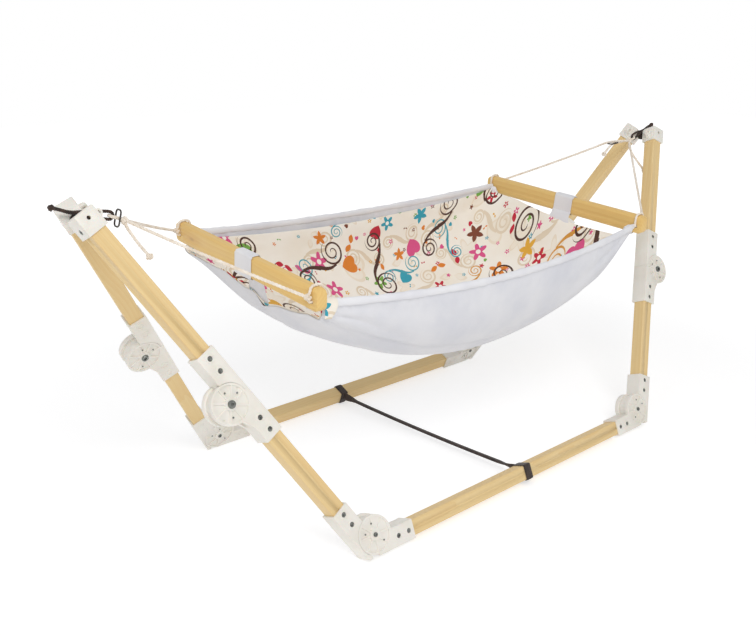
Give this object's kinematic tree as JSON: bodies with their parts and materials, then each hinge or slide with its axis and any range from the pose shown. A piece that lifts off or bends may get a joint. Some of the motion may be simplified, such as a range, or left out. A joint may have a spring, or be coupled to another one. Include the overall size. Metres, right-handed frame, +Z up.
{
  "type": "hammock cradle",
  "caption": "Cloth baby hammock on wooden spreader bars, roped between the tops of a folding pine stand with moulded hinge brackets.",
  "frame": {"origin": "on the floor under the middle of the stand", "axes": "+Z up, +X along the stand towards its right end, +Y towards its far side frame"},
  "size_m": [1.6312, 0.6186, 0.6674],
  "materials": {
    "pine": "satin, pale yellow pine",
    "ivory_plastic": "moulded, slightly glossy",
    "bolt_steel": "zinc plated",
    "screw_metal": "dark",
    "brown_webbing": "woven webbing",
    "brown_cord": "braided cord",
    "cotton_rope": "twisted cotton",
    "ring_wire": "dark wire",
    "spreader_wood": "satin, golden",
    "white_cloth": "plain cotton",
    "print_cloth": "printed cotton, cream ground"
  },
  "bodies": {
    "far_base": {"far_base_beam": "pine", "far_left_base_bracket": "ivory_plastic", "far_right_base_bracket": "ivory_plastic", "far_base_screws": "screw_metal", "far_corner_bolts": "bolt_steel", "spread_strap": "brown_webbing"},
    "near_base": {"near_base_beam": "pine", "near_left_base_bracket": "ivory_plastic", "near_right_base_bracket": "ivory_plastic", "near_base_screws": "screw_metal", "near_corner_bolts": "bolt_steel"},
    "near_left_lower": {"near_left_lower_leg": "pine", "near_left_leg_bracket": "ivory_plastic", "near_left_knee_clevis": "ivory_plastic", "near_left_knee_bolt": "bolt_steel", "near_left_lower_screws": "screw_metal"},
    "near_left_upper": {"near_left_upper_leg": "pine", "near_left_knee_tongue": "ivory_plastic", "near_left_apex_cap": "ivory_plastic", "near_left_upper_screws": "screw_metal"},
    "near_right_lower": {"near_right_lower_leg": "pine", "near_right_leg_bracket": "ivory_plastic", "near_right_knee_clevis": "ivory_plastic", "near_right_knee_bolt": "bolt_steel", "near_right_lower_screws": "screw_metal"},
    "near_right_upper": {"near_right_upper_leg": "pine", "near_right_knee_tongue": "ivory_plastic", "near_right_apex_cap": "ivory_plastic", "near_right_upper_screws": "screw_metal"},
    "far_left_lower": {"far_left_lower_leg": "pine", "far_left_leg_bracket": "ivory_plastic", "far_left_knee_clevis": "ivory_plastic", "far_left_knee_bolt": "bolt_steel", "far_left_lower_screws": "screw_metal"},
    "far_left_upper": {"far_left_upper_leg": "pine", "far_left_knee_tongue": "ivory_plastic", "far_left_apex_cap": "ivory_plastic", "far_left_upper_screws": "screw_metal", "left_lashing": "brown_cord"},
    "far_right_lower": {"far_right_lower_leg": "pine", "far_right_leg_bracket": "ivory_plastic", "far_right_knee_clevis": "ivory_plastic", "far_right_knee_bolt": "bolt_steel", "far_right_lower_screws": "screw_metal"},
    "far_right_upper": {"far_right_upper_leg": "pine", "far_right_knee_tongue": "ivory_plastic", "far_right_apex_cap": "ivory_plastic", "far_right_upper_screws": "screw_metal", "right_lashing": "brown_cord"},
    "slings": {"left_sling": "brown_cord", "right_sling": "brown_cord", "loose_rope_end": "cotton_rope"},
    "hammock": {"hammock_cloth": "white_cloth", "hammock_liner": "print_cloth", "bar_bands": "white_cloth", "left_spreader": "spreader_wood", "right_spreader": "spreader_wood", "left_ropes": "cotton_rope", "right_ropes": "cotton_rope", "adjuster_rings": "ring_wire"}
  },
  "joints": [
    {"name": "side_close", "type": "hinge", "parent": "far_base", "child": "near_base", "pos_m": [0, 0, 0.65086], "axis": [1, 0, 0], "range_deg": [0, 44.66], "deforming": ["spread_strap", "left_lashing", "right_lashing"]},
    {"name": "far_left_corner", "type": "hinge", "parent": "far_base", "child": "far_left_lower", "pos_m": [-0.40731, 0.27702, 0.04226], "axis": [0, 0.925, 0.38], "range_deg": [0, 117.7]},
    {"name": "far_left_knee", "type": "hinge", "parent": "far_left_lower", "child": "far_left_upper", "pos_m": [-0.61789, 0.1614, 0.32373], "axis": [0, -0.925, -0.38], "range_deg": [0, 180]},
    {"name": "far_right_corner", "type": "hinge", "parent": "far_base", "child": "far_right_lower", "pos_m": [0.40731, 0.27702, 0.04226], "axis": [0, -0.925, -0.38], "range_deg": [0, 117.7]},
    {"name": "far_right_knee", "type": "hinge", "parent": "far_right_lower", "child": "far_right_upper", "pos_m": [0.61789, 0.1614, 0.32373], "axis": [0, 0.925, 0.38], "range_deg": [0, 180]},
    {"name": "near_left_corner", "type": "hinge", "parent": "near_base", "child": "near_left_lower", "pos_m": [-0.40731, -0.27702, 0.04226], "axis": [0, 0.925, -0.38], "range_deg": [0, 117.7]},
    {"name": "near_left_knee", "type": "hinge", "parent": "near_left_lower", "child": "near_left_upper", "pos_m": [-0.61789, -0.1614, 0.32373], "axis": [0, -0.925, 0.38], "range_deg": [0, 180]},
    {"name": "near_right_corner", "type": "hinge", "parent": "near_base", "child": "near_right_lower", "pos_m": [0.40731, -0.27702, 0.04226], "axis": [0, -0.925, 0.38], "range_deg": [0, 117.7]},
    {"name": "near_right_knee", "type": "hinge", "parent": "near_right_lower", "child": "near_right_upper", "pos_m": [0.61789, -0.1614, 0.32373], "axis": [0, 0.925, -0.38], "range_deg": [0, 180]},
    {"name": "hammock_lift", "type": "slide", "parent": "far_base", "child": "slings", "axis": [0, 0, 1], "range_m": [0, 0.9]},
    {"name": "hammock_rock", "type": "hinge", "parent": "slings", "child": "hammock", "pos_m": [0, 0, 0.65086], "axis": [1, 0, 0], "range_deg": [-25, 25], "deforming": ["left_sling", "right_sling", "loose_rope_end"]}
  ],
  "couplings": [
    {"joint": "far_left_knee", "follows": "far_left_corner", "ratio": 1.5293},
    {"joint": "far_right_corner", "follows": "far_left_corner", "ratio": 1},
    {"joint": "far_right_knee", "follows": "far_left_corner", "ratio": 1.5293},
    {"joint": "near_left_corner", "follows": "far_left_corner", "ratio": 1},
    {"joint": "near_left_knee", "follows": "far_left_corner", "ratio": 1.5293},
    {"joint": "near_right_corner", "follows": "far_left_corner", "ratio": 1},
    {"joint": "near_right_knee", "follows": "far_left_corner", "ratio": 1.5293},
    {"joint": "hammock_lift", "follows": "far_left_corner", "m_per_rad": 0.438}
  ]
}
